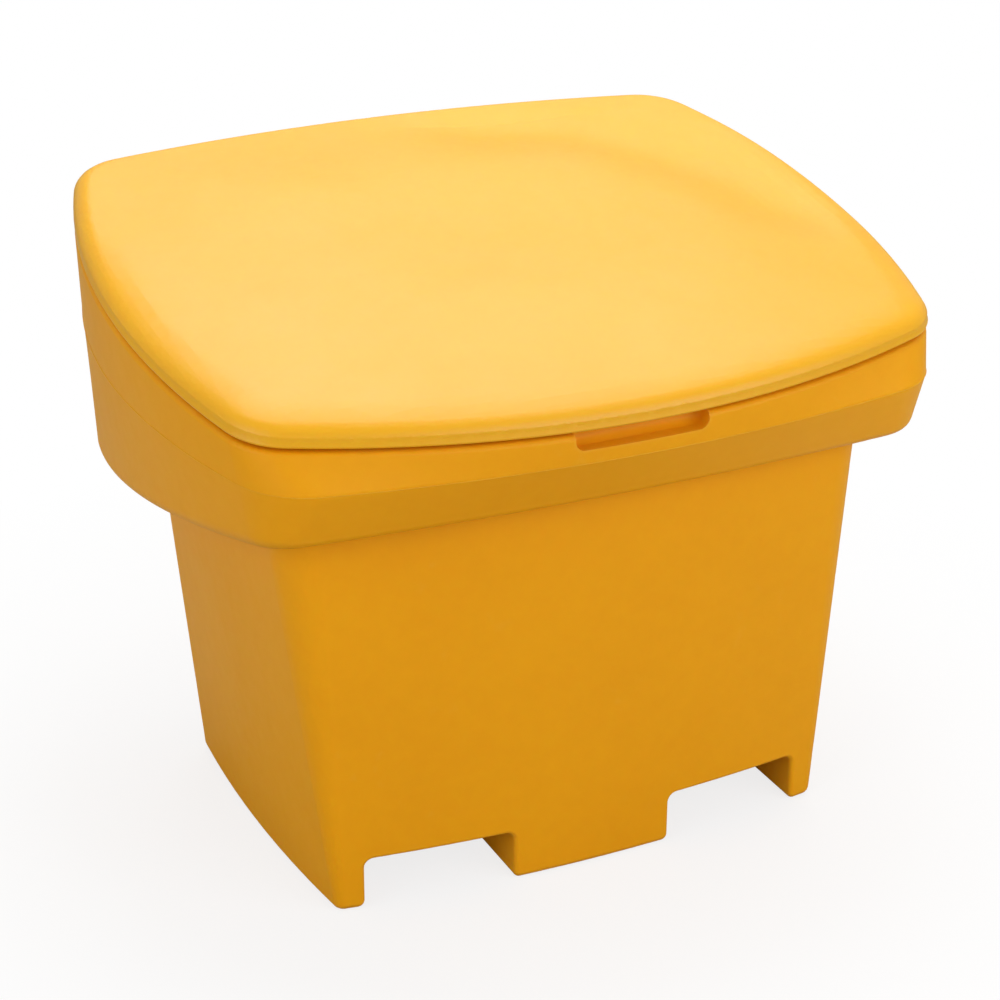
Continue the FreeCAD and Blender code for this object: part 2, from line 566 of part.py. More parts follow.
lid_form = new_body("lid_form")
lid_skin(lid_form, "0")
lower_face = plane_faces(lid_form, Vector(0, 0, 0), Vector(0, 0, 1))[0]
fillet(lid_form, "LidUnderRound", "Sizes.lid_under_round", lower_face.OuterWire.Edges)
pocket(lid_form, "PanGrooves", groove_outlines(lid_form, "0"), "Sizes.groove_rise", reverse=True)
insert_holes = plan_view(lid_form, "insert_holes", "0")
round_holes(insert_holes, SCREW_PLACES, "Sizes.insert_radius + Sizes.press_clearance")
pocket(lid_form, "InsertHoles", insert_holes, "Sizes.insert_length", reverse=True)

lid_void = new_body("lid_void")
lid_skin(lid_void, "Sizes.lid_skin")
pocket(lid_void, "VoidGrooves", groove_outlines(lid_void, "Sizes.lid_skin"),
       "Sizes.groove_rise + Sizes.lid_skin", reverse=True)
bosses = plan_view(lid_void, "insert_bosses", "0")
round_holes(bosses, SCREW_PLACES, "Sizes.insert_radius + Sizes.insert_boss")
pocket(lid_void, "InsertBosses", bosses, "Sizes.insert_length + Sizes.insert_boss", reverse=True)

# Stop heels: they meet the collar's rear wall when the lid stands open, so each is drawn in that pose
HEEL_TURN = "(Sizes.open_angle - Sizes.rim_tilt)"
CREASE_REAR_Y = "(Sizes.crease_rear * cos(Sizes.crease_tilt))"
CREASE_REAR_Z = "(Sizes.crease_height + Sizes.crease_rear * sin(Sizes.crease_tilt))"
RIM_REAR_Y = "(Sizes.rim_rear * cos(Sizes.rim_tilt))"
RIM_REAR_Z = "(Sizes.rim_height + Sizes.rim_rear * sin(Sizes.rim_tilt))"


def wall_reach(drop):
    """Return how far before the hinge axis the collar's rear wall stands, at a drop below it."""
    share = "((%s - %s + %s) / (%s - %s))" % (RIM_REAR_Z, AXIS_Z, drop, RIM_REAR_Z, CREASE_REAR_Z)
    wall_y = "(%s + %s * (%s - %s))" % (RIM_REAR_Y, share, CREASE_REAR_Y, RIM_REAR_Y)
    bow = "((Sizes.heel_spread - Sizes.heel_half_width) ^ 2 / (2 * Sizes.rim_rear_bow))"
    return "(%s - %s + %s - Sizes.rest_clearance)" % (AXIS_Y, wall_y, bow)


def in_lid(p, q):
    """Turn a place of the open lid, measured from the hinge axis, into the lid's own frame."""
    return ("%s + (%s) * cos(%s) - (%s) * sin(%s)" % (AXIS_REACH, p, HEEL_TURN, q, HEEL_TURN),
            "(%s) * sin(%s) + (%s) * cos(%s) - %s" % (p, HEEL_TURN, q, HEEL_TURN, KNUCKLE))


HEEL = [("-%s" % wall_reach("Sizes.heel_top"), "-Sizes.heel_top"),
        ("-%s" % wall_reach("Sizes.heel_bottom"), "-Sizes.heel_bottom"),
        ("2", "-Sizes.heel_bottom"), ("Sizes.heel_reach", "-4"), ("Sizes.heel_reach", "6"),
        ("Sizes.heel_bend", "Sizes.heel_bend"), ("-2.8", "4.9")]
for side, sign in SIDES:
    heel = side_view(lid_form, "heel_outline_" + side, "%s * Sizes.heel_spread" % sign)
    polygon(heel, [in_lid(p, q) for p, q in HEEL])
    pad(lid_form, "Heel_" + side, heel, "2 * Sizes.heel_half_width", symmetric=True)
lid = cut_away("lid", lid_form, lid_void)
set_on_rim(lid, LID_Y, LID_Z)
nodes = [tub, lid]

# Hinges: a leaf bolted to the collar and a leaf screwed under the lid turn on one headed pin
STEP = "(Sizes.leaf_length / 5)"
BODY_KNUCKLES = (-2, 0, 2)
LID_KNUCKLES = (-1, 1)


def add_leaf(name, outline, middle, free_edge, axis, own, other):
    """Build a leaf's plate from its free edge to the pin, notched where the other leaf's knuckles turn."""
    leaf = new_body(name)
    half = "(Sizes.leaf_length / 2)"
    sketch = outline(leaf, name + "_outline")
    rectangle(sketch, "%s - %s" % (middle, half), "%s + %s" % (middle, half), free_edge, axis[0])
    pad(leaf, name + "_plate", sketch, "Sizes.leaf_thickness", reverse=True)
    low = value(free_edge)
    corners = [edge for edge in leaf.Shape.Edges if edge.BoundBox.XLength < 0.01
               and abs(edge.CenterOfMass.z - low) * abs(edge.CenterOfMass.y - low) < 0.01]
    fillet(leaf, name + "_corners", "Sizes.leaf_corner", corners)
    notches = outline(leaf, name + "_notches")
    for number in other:
        place, reach = "%s + %d * %s" % (middle, number, STEP), "(%s / 2)" % STEP
        if abs(number) == 2:
            reach = "(%s / 2 + Sizes.knuckle_gap)" % STEP
        rectangle(notches, "%s - %s - Sizes.knuckle_gap / 2" % (place, reach),
                  "%s + %s + Sizes.knuckle_gap / 2" % (place, reach),
                  "%s - %s - Sizes.knuckle_gap" % (axis[0], KNUCKLE), "%s + %s" % (axis[0], KNUCKLE))
    pocket(leaf, name + "_notch", notches, "2 * Sizes.leaf_thickness", symmetric=True)
    for number in own:
        disc = side_view(leaf, "%s_disc_%d" % (name, number + 3), "%s + %d * %s" % (middle, number, STEP))
        round_holes(disc, [axis[1:]], KNUCKLE)
        pad(leaf, "%s_knuckle_%d" % (name, number + 3), disc, "%s - Sizes.knuckle_gap" % STEP, symmetric=True)
    bore = side_view(leaf, name + "_bore", middle)
    round_holes(bore, [axis[1:]], "Sizes.pin_radius + Sizes.pin_clearance")
    pocket(leaf, name + "_bore_cut", bore, "2 * Sizes.leaf_length", symmetric=True)
    nodes.append(leaf)
    return leaf


for side, sign in SIDES:
    middle = "%s * Sizes.hinge_spread" % sign

    leaf = add_leaf("hinge_body_leaf_" + side, lambda body, name: front_view(body, name, "Sizes.pad_front"),
                    middle, "%s - Sizes.body_leaf_drop" % AXIS_Z, (AXIS_Z, AXIS_Y, AXIS_Z),
                    BODY_KNUCKLES, LID_KNUCKLES)
    holes = front_view(leaf, leaf.Label + "_holes", "Sizes.pad_front")
    round_holes(holes, row_along(sign, BOLT_Z), "Sizes.bolt_radius + Sizes.bolt_clearance")
    pocket(leaf, leaf.Label + "_drill", holes, "3 * Sizes.leaf_thickness", symmetric=True)

    leaf = add_leaf("hinge_lid_leaf_" + side, lambda body, name: plan_view(body, name, "0"), middle,
                    "%s - Sizes.lid_leaf_reach" % AXIS_REACH, (AXIS_REACH, AXIS_REACH, "-" + KNUCKLE),
                    LID_KNUCKLES, BODY_KNUCKLES)
    sinks = plan_view(leaf, leaf.Label + "_sinks", "-Sizes.leaf_thickness")
    round_holes(sinks, row_along(sign, SCREW_Y), "Sizes.screw_head_radius + Sizes.screw_clearance")
    pocket(leaf, leaf.Label + "_sink", sinks, "Sizes.screw_head_radius - Sizes.screw_radius", reverse=True,
           taper=-45)
    holes = plan_view(leaf, leaf.Label + "_holes", "0")
    round_holes(holes, row_along(sign, SCREW_Y), "Sizes.screw_radius + Sizes.screw_clearance")
    pocket(leaf, leaf.Label + "_drill", holes, "3 * Sizes.leaf_thickness", symmetric=True)
    set_on_rim(leaf, LID_Y, LID_Z)

    pin = new_body("hinge_pin_" + side)
    rod = side_view(pin, pin.Label + "_rod", middle)
    round_holes(rod, [(AXIS_Y, AXIS_Z)], "Sizes.pin_radius")
    pad(pin, pin.Label + "_shank", rod, "Sizes.leaf_length", symmetric=True)
    for end, way in SIDES:
        place = "%s + %s * (Sizes.leaf_length + Sizes.pin_head_length) / 2" % (middle, way)
        head = side_view(pin, "%s_head_%s" % (pin.Label, end), place)
        round_holes(head, [(AXIS_Y, AXIS_Z)], "Sizes.pin_head_radius")
        pad(pin, "%s_flange_%s" % (pin.Label, end), head, "Sizes.pin_head_length", symmetric=True)
    nodes.append(pin)

    backing = new_body("backing_plate_" + side)
    plate = front_view(backing, backing.Label + "_outline", PAD_BACK)
    reach = "(Sizes.bolt_pitch + Sizes.plate_half_height)"
    rectangle(plate, "%s - %s" % (middle, reach), "%s + %s" % (middle, reach),
              "%s - Sizes.plate_half_height" % BOLT_Z, "%s + Sizes.plate_half_height" % BOLT_Z,
              "Sizes.leaf_corner")
    round_holes(plate, row_along(sign, BOLT_Z), "Sizes.bolt_radius + Sizes.bolt_clearance")
    pad(backing, backing.Label + "_strip", plate, "Sizes.plate_thickness")
    nodes.append(backing)

# Bolts, washers and nuts of both hinges
LEAF_BACK = "(Sizes.pad_front + Sizes.leaf_thickness)"
HEAD_BACK = "(%s + Sizes.bolt_head_height)" % LEAF_BACK
WASHER_BACK = "(%s - Sizes.plate_thickness)" % PAD_BACK
NUT_BACK = "(%s - Sizes.washer_thickness)" % WASHER_BACK
bolts = new_body("body_leaf_bolts")
shanks = front_view(bolts, "bolt_shanks", LEAF_BACK)
round_holes(shanks, BOLT_PLACES, "Sizes.bolt_radius")
pad(bolts, "BoltShanks", shanks, "%s - %s + Sizes.nut_height + Sizes.bolt_overrun" % (LEAF_BACK, NUT_BACK))
heads = front_view(bolts, "bolt_heads", LEAF_BACK)
round_holes(heads, BOLT_PLACES, "Sizes.bolt_head_radius")
pad(bolts, "BoltHeads", heads, "Sizes.bolt_head_height", reverse=True)
fillet(bolts, "BoltHeadRound", "Sizes.bolt_head_height / 2",
       edges_on_plane(bolts, Vector(0, value(HEAD_BACK), 0), Vector(0, 1, 0)))
keys = front_view(bolts, "bolt_keys", HEAD_BACK)
hexagons(keys, BOLT_PLACES, "Sizes.key_reach")
pocket(bolts, "BoltKeys", keys, "Sizes.key_depth", reverse=True)

washers = new_body("body_leaf_washers")
washer_outline = front_view(washers, "washer_outline", WASHER_BACK)
round_holes(washer_outline, BOLT_PLACES, "Sizes.washer_radius", "Sizes.bolt_radius + Sizes.bolt_clearance")
pad(washers, "Washers", washer_outline, "Sizes.washer_thickness")

nuts = new_body("body_leaf_nuts")
nut_outline = front_view(nuts, "nut_outline", NUT_BACK)
hexagons(nut_outline, BOLT_PLACES, "Sizes.nut_across_flats / sqrt(3)")
round_holes(nut_outline, BOLT_PLACES, "Sizes.bolt_radius + Sizes.press_clearance")
pad(nuts, "Nuts", nut_outline, "Sizes.nut_height")

# Screws up into the lid, and the threaded inserts that take them
inserts = new_body("lid_inserts")
insert_outline = plan_view(inserts, "insert_outline", "0")
round_holes(insert_outline, SCREW_PLACES, "Sizes.insert_radius", "Sizes.screw_radius + Sizes.press_clearance")
pad(inserts, "Inserts", insert_outline, "Sizes.insert_length")
set_on_rim(inserts, LID_Y, LID_Z)

screws = new_body("lid_leaf_screws")
screw_shanks = plan_view(screws, "screw_shanks", "-Sizes.leaf_thickness")
round_holes(screw_shanks, SCREW_PLACES, "Sizes.screw_radius")
pad(screws, "ScrewShanks", screw_shanks, "Sizes.screw_length")
screw_heads = plan_view(screws, "screw_heads", "-Sizes.leaf_thickness")
round_holes(screw_heads, SCREW_PLACES, "Sizes.screw_head_radius")
pad(screws, "ScrewHeads", screw_heads, "Sizes.screw_head_radius - Sizes.screw_radius", taper=-45)
set_on_rim(screws, LID_Y, LID_Z)

# Rubber buffers in the rim's front corners: head on the rim, stem through it, barb below
buffers = new_body("rim_buffers")
buffer_heads = plan_view(buffers, "buffer_heads", "0")
round_holes(buffer_heads, BUFFER_PLACES, "Sizes.buffer_radius")
pad(buffers, "BufferHeads", buffer_heads, "Sizes.lid_gap - Sizes.rest_clearance")
buffer_top = Vector(0, 0, value("Sizes.lid_gap - Sizes.rest_clearance"))
fillet(buffers, "BufferRound", "Sizes.buffer_round", edges_on_plane(buffers, buffer_top, Vector(0, 0, 1)))
buffer_stems = plan_view(buffers, "buffer_stems", "0")
round_holes(buffer_stems, BUFFER_PLACES, "Sizes.buffer_stem_radius")
pad(buffers, "BufferStems", buffer_stems, "Sizes.rim_thickness + Sizes.buffer_barb_height", reverse=True)
buffer_barbs = plan_view(buffers, "buffer_barbs", "-Sizes.rim_thickness")
round_holes(buffer_barbs, BUFFER_PLACES, "Sizes.buffer_barb_radius")
pad(buffers, "BufferBarbs", buffer_barbs, "Sizes.buffer_barb_height", reverse=True)
set_on_rim(buffers, "Sizes.rim_centre", "Sizes.rim_height")

# Write one file for each node
os.makedirs("parts", exist_ok=True)
for node in nodes + [bolts, washers, nuts, inserts, screws, buffers]:
    if node.Shape.isNull() or not node.Shape.isValid():
        raise RuntimeError("%s is not a valid solid" % node.Label)
    node.Shape.exportStep("parts/%s.step" % node.Label)
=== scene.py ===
"""Dressed scene of a free-standing grit salt bin: shells, hinges, fasteners and a plain studio."""

import json
import logging
import math
from dataclasses import dataclass
from enum import Enum
from typing import Callable, Optional

import bpy
from mathutils import Matrix, Vector, geometry, kdtree

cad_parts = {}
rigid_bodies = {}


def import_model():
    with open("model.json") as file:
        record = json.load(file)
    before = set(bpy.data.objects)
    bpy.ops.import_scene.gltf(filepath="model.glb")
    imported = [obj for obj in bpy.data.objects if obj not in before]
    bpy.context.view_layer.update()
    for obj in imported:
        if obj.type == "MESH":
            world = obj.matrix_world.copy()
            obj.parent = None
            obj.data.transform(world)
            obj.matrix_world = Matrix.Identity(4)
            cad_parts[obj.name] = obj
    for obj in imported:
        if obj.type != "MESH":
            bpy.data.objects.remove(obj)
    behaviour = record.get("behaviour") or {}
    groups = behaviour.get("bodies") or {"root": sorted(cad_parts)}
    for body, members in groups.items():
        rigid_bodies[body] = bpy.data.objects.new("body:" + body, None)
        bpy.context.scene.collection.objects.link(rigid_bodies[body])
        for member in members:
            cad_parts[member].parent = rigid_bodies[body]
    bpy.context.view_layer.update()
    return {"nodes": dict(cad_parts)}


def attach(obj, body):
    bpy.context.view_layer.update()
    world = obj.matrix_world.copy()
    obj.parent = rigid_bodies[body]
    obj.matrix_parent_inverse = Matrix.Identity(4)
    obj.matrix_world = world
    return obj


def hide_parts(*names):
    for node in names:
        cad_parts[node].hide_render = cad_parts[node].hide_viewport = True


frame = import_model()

log = logging.getLogger("grit_bin")

TUB_BODY = "tub_body"
LID_BODY = "lid_body"


class Slot(Enum):
    """The finishes that the record names for the bin's pieces."""

    TUB_SKIN = "yellow_polyethylene"
    LID_SKIN = "yellow_lid_polyethylene"
    STAINLESS = "stainless_steel"
    PLATED = "plated_steel"
    BRASS = "brass"
    RUBBER = "black_rubber"


# Small helpers for working on one piece at a time, as by hand


def deselect_everything() -> None:
    """Leave edit mode and drop the selection that the frame or the last piece left."""
    if bpy.context.object and bpy.context.object.mode != "OBJECT":
        bpy.ops.object.mode_set(mode="OBJECT")
    bpy.ops.object.select_all(action="DESELECT")


def take_up(piece: bpy.types.Object) -> None:
    """Make one piece the only selected and active object."""
    deselect_everything()
    piece.select_set(True)
    bpy.context.view_layer.objects.active = piece


def ready_mesh(piece: bpy.types.Object, mode: str = "FACE") -> None:
    """Show all of a piece's mesh with nothing selected, and leave it in object mode.

    Args:
        piece: the piece to shape.
        mode: VERT, EDGE or FACE, which the next selection is made in.
    """
    take_up(piece)
    bpy.ops.object.mode_set(mode="EDIT")
    bpy.ops.mesh.reveal(select=False)
    bpy.ops.mesh.select_mode(type=mode)
    bpy.ops.mesh.select_all(action="DESELECT")
    bpy.ops.object.mode_set(mode="OBJECT")


def select_whole(piece: bpy.types.Object, mode: str = "FACE") -> None:
    """Show and select all of a piece's mesh, and stay in edit mode."""
    ready_mesh(piece, mode)
    bpy.ops.object.mode_set(mode="EDIT")
    bpy.ops.mesh.select_all(action="SELECT")


def pick_faces(piece: bpy.types.Object, wanted: Callable[[bpy.types.MeshPolygon], bool]) -> None:
    """Select the faces that a test accepts, and go to edit mode."""
    for face in piece.data.polygons:
        face.select = wanted(face)
    bpy.ops.object.mode_set(mode="EDIT")


def apply_modifiers(piece: bpy.types.Object) -> None:
    """Apply the piece's modifiers in their order."""
    take_up(piece)
    for modifier in list(piece.modifiers):
        bpy.ops.object.modifier_apply(modifier=modifier.name)


def settle_place(piece: bpy.types.Object) -> None:
    """Put the piece's place and turn into its mesh, so that its object sits at the origin."""
    take_up(piece)
    bpy.ops.object.transform_apply(location=True, rotation=True, scale=True)


def smooth(piece: bpy.types.Object, angle: float) -> None:
    """Shade a piece smooth across every edge that folds less than an angle in degrees."""
    take_up(piece)
    bpy.ops.object.shade_smooth_by_angle(angle=math.radians(angle))


def merged_copy(node: str, name: str, gap: float = 2e-6) -> bpy.types.Object:
    """Copy a CAD node's mesh as a piece of its own, with its loose triangles joined up.

    Args:
        node: the CAD node to copy.
        name: the new piece's name.
        gap: the distance in metres within which corners are one.

    Returns:
        The new piece, which rides on nothing yet.
    """
    piece = bpy.data.objects.new(name, frame["nodes"][node].data.copy())
    bpy.context.scene.collection.objects.link(piece)
    take_up(piece)
    if piece.data.has_custom_normals:
        bpy.ops.mesh.customdata_custom_splitnormals_clear()
    piece.data.materials.clear()
    select_whole(piece, "VERT")
    bpy.ops.mesh.remove_doubles(threshold=gap)
    bpy.ops.object.mode_set(mode="OBJECT")
    return piece


def keep_outer_skin(piece: bpy.types.Object) -> None:
    """Keep only what is joined to the corner furthest right, and drop what that skin encloses."""
    start = max(piece.data.vertices, key=lambda vertex: vertex.co.x).index
    ready_mesh(piece, "VERT")
    piece.data.vertices[start].select = True
    bpy.ops.object.mode_set(mode="EDIT")
    bpy.ops.mesh.select_linked(delimit=set())
    bpy.ops.mesh.select_all(action="INVERT")
    bpy.ops.mesh.delete(type="VERT")
    bpy.ops.object.mode_set(mode="OBJECT")


def outline_tree(corners: list[Vector], spacing: float = 0.001) -> kdtree.KDTree:
    """Lay the points of an outline that bows outwards all round in a search tree.

    Args:
        corners: the outline's corners seen from above, with others inside it.
        spacing: about how far apart the points lie, in metres.

    Returns:
        The tree of points.
    """
    ring = [corners[index].to_3d() for index in geometry.convex_hull_2d(corners)]
    spots = []
    for first, end in zip(ring, ring[1:] + ring[:1]):
        run = end - first
        count = max(1, round(run.length / spacing))
        spots += [first + run * (step / count) for step in range(count)]
    tree = kdtree.KDTree(len(spots))
    for number, spot in enumerate(spots):
        tree.insert(spot, number)
    tree.balance()
    return tree


def clamp(value: float) -> float:
    """Hold a value between 0 and 1."""
    return min(max(value, 0.0), 1.0)


def dress(piece: bpy.types.Object, finish: "Finish", body: str,
          nodes: tuple[str, ...] = ()) -> bpy.types.Object:
    """Give a finished piece its material and its body, and hide the CAD nodes that it stands for,
    if any.
    """
    piece.data.materials.clear()
    piece.data.materials.append(finish.material())
    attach(piece, body)
    if nodes:
        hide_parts(*nodes)
    log.info("%s: %d faces", piece.name, len(piece.data.polygons))
    return piece


# Shader graphs


class Graph:
    """A node tree with short calls for adding and linking nodes."""

    def __init__(self, tree: bpy.types.NodeTree) -> None:
        """Keep the tree that the nodes go into."""
        self.tree = tree

    def add(self, kind: str, inputs: Optional[dict] = None, **settings: object) -> bpy.types.Node:
        """Add a node.

        Args:
            kind: the node's type, without its ShaderNode prefix.
            inputs: values or sockets for its inputs, by name or number.
            settings: the node's own properties.

        Returns:
            The new node.
        """
        node = self.tree.nodes.new(kind if kind.startswith("Node") else "ShaderNode" + kind)
        for name, setting in settings.items():
            setattr(node, name, setting)
        for socket, source in (inputs or {}).items():
            self.feed(node.inputs[socket], source)
        return node

    def feed(self, socket: bpy.types.NodeSocket, source: object) -> None:
        """Link a socket to another, or set it to a value."""
        if isinstance(source, bpy.types.NodeSocket):
            self.tree.links.new(source, socket)
        else:
            socket.default_value = source

    def math(self, operation: str, first: object, second: object = 0.0) -> bpy.types.NodeSocket:
        """Add a Math node and return its output."""
        return self.add("Math", {0: first, 1: second}, operation=operation).outputs[0]

    def blend(self, share: object, first: object, second: object) -> bpy.types.NodeSocket:
        """Mix two colours by a share and return the mixed colour."""
        node = self.add("Mix", {0: share, 6: first, 7: second}, data_type="RGBA")
        return node.outputs[2]

    def remap(self, source: object, low: float, high: float,
              to_low: float = 0.0, to_high: float = 1.0) -> bpy.types.NodeSocket:
        """Stretch a value from one range to another, held at the ends, and return it."""
        ends = {0: source, 1: low, 2: high, 3: to_low, 4: to_high}
        return self.add("MapRange", ends, clamp=True).outputs[0]

    def noise(self, vector: object, scale: float, detail: float,
              roughness: float) -> bpy.types.NodeSocket:
        """Add a noise texture and return its value."""
        node = self.add("TexNoise", {"Vector": vector, "Scale": scale, "Detail": detail,
                                     "Roughness": roughness})
        return node.outputs[0]


def new_group(name: str, inputs: dict[str, str],
              outputs: dict[str, str]) -> tuple[Graph, dict, dict]:
    """Make an empty shader node group.

    Args:
        name: the group's name.
        inputs: socket kinds by name.
        outputs: socket kinds by name.

    Returns:
        The group's graph, its input sockets and its output sockets, by name.
    """
    tree = bpy.data.node_groups.new(name, "ShaderNodeTree")
    for names, side in ((inputs, "INPUT"), (outputs, "OUTPUT")):
        for socket, kind in names.items():
            tree.interface.new_socket(socket, in_out=side, socket_type="NodeSocket" + kind)
    graph = Graph(tree)
    into = graph.add("NodeGroupInput")
    out = graph.add("NodeGroupOutput")
    given = {socket: into.outputs[socket] for socket in inputs}
    put = {socket: out.inputs[socket] for socket in outputs}
    return graph, given, put


def skin_grain_group() -> bpy.types.NodeTree:
    """Build a moulded skin's grain: fine pits, orange peel and the slow waves of a cooled wall.

    Returns:
        The group, which puts out a height and a mottle mask.
    """
    graph, given, put = new_group(
        "skin_grain", {"Vector": "Vector", "Pits": "Float", "Peel": "Float", "Waves": "Float"},
        {"Height": "Float", "Mottle": "Float"})
    pits = graph.noise(given["Vector"], scale=1500.0, detail=2.0, roughness=0.6)
    peel = graph.noise(given["Vector"], scale=210.0, detail=3.0, roughness=0.55)
    waves = graph.noise(given["Vector"], scale=5.5, detail=1.0, roughness=0.4)
    height = graph.math("MULTIPLY", pits, given["Pits"])
    height = graph.math("ADD", height, graph.math("MULTIPLY", peel, given["Peel"]))
    height = graph.math("ADD", height, graph.math("MULTIPLY", waves, given["Waves"]))
    graph.feed(put["Height"], height)
    cloud = graph.noise(given["Vector"], scale=3.2, detail=4.0, roughness=0.6)
    speck = graph.noise(given["Vector"], scale=46.0, detail=4.0, roughness=0.7)
    cloud_share, speck_share = 0.65, 0.35
    mottle = graph.math("ADD", graph.math("MULTIPLY", cloud, cloud_share),
                        graph.math("MULTIPLY", speck, speck_share))
    graph.feed(put["Mottle"], graph.remap(mottle, low=0.36, high=0.64))
    return graph.tree


def marks_and_highlight_group() -> bpy.types.NodeTree:
    """Build the marks of use: an outer-edge mask (rubbed wear, and on the plastic partly a painted
    highlight), dust on faces that look up, and faint scuffs.

    Returns:
        The group, which puts out an edge mask, a dust mask and a scuff mask.
    """
    graph, given, put = new_group(
        "handling_and_highlight", {"Vector": "Vector", "Normal": "Vector", "Edge Radius": "Float"},
        {"Edge": "Float", "Dust": "Float", "Scuff": "Float"})
    rounded = graph.add("Bevel", {"Radius": given["Edge Radius"]}, samples=6)
    true_normal = graph.add("NewGeometry").outputs["True Normal"]
    turned = graph.add("VectorMath", {0: rounded.outputs[0], 1: true_normal},
                       operation="DOT_PRODUCT").outputs["Value"]
    breakup = graph.noise(given["Vector"], scale=38.0, detail=4.0, roughness=0.65)
    rubbed_and_highlight = graph.remap(turned, low=0.995, high=0.86)
    patchy = graph.remap(breakup, low=0.3, high=0.7, to_low=0.35)
    graph.feed(put["Edge"], graph.math("MULTIPLY", rubbed_and_highlight, patchy))
    upward = graph.add("SeparateXYZ", {0: given["Normal"]}).outputs[2]
    level = graph.remap(upward, low=0.55, high=0.98)
    drifts = graph.noise(given["Vector"], scale=9.0, detail=5.0, roughness=0.68)
    settled = graph.math("MULTIPLY", level, graph.remap(drifts, low=0.42, high=0.72))
    graph.feed(put["Dust"], settled)
    stretched = graph.add("Mapping", {"Vector": given["Vector"], "Scale": (34.0, 260.0, 34.0),
                                      "Rotation": (0.2, 0.35, 0.6)})
    streaks = graph.noise(stretched.outputs[0], scale=1.0, detail=3.0, roughness=0.6)
    sparse = graph.noise(given["Vector"], scale=7.0, detail=2.0, roughness=0.5)
    graph.feed(put["Scuff"], graph.math("MULTIPLY", graph.remap(streaks, low=0.62, high=0.72),
                                        graph.remap(sparse, low=0.5, high=0.66)))
    return graph.tree


def brushed_group() -> bpy.types.NodeTree:
    """Build the fine lines that a belt leaves on sheet metal.

    Returns:
        The group, which puts out a height and a shade mask.
    """
    graph, given, put = new_group("brushed_lines", {"Vector": "Vector", "Stretch": "Vector"},
                                  {"Height": "Float", "Shade": "Float"})
    lined = graph.add("Mapping", {"Vector": given["Vector"], "Scale": given["Stretch"]})
    lines = graph.noise(lined.outputs[0], scale=1.0, detail=5.0, roughness=0.7)
    graph.feed(put["Height"], lines)
    graph.feed(put["Shade"], graph.remap(lines, low=0.3, high=0.7))
    return graph.tree


def shared(build: Callable[[], bpy.types.NodeTree], name: str) -> bpy.types.NodeTree:
    """Return a node group by name, built on its first use."""
    return bpy.data.node_groups.get(name) or build()


@dataclass(frozen=True)
class Finish:
    """A finish that the bin's pieces share: its slot, its two shades and its roughness."""

    slot: Slot
    shade: tuple[float, float, float]
    deep: tuple[float, float, float]
    roughness: float

    def material(self) -> bpy.types.Material:
        """Return this finish's material, built on its first use."""
        name = self.slot.value + "_finish"
        found = bpy.data.materials.get(name)
        if found:
            return found
        made = bpy.data.materials.new(name)
        made.use_nodes = True
        made.node_tree.nodes.clear()
        graph = Graph(made.node_tree)
        shader = graph.add("BsdfPrincipled")
        graph.add("OutputMaterial", {"Surface": shader.outputs[0]})
        self.paint(graph, shader)
        return made

    def paint(self, graph: Graph, shader: bpy.types.Node) -> None:
        """Wire the finish's colour, gloss and bump into the shader."""
        raise NotImplementedError

    def group(self, graph: Graph, build: Callable[[], bpy.types.NodeTree], name: str,
              inputs: dict) -> bpy.types.Node:
        """Place a shared node group in this material with its own values."""
        node = graph.add("Group", node_tree=shared(build, name))
        for socket, source in inputs.items():
            graph.feed(node.inputs[socket], source)
        return node

    def emboss(self, graph: Graph, shader: bpy.types.Node, height: object, strength: float,
               distance: float) -> None:
        """Let a height show as bump on the shader."""
        bump = graph.add("Bump", {"Strength": strength, "Distance": distance, "Height": height})
        graph.feed(shader.inputs["Normal"], bump.outputs[0])


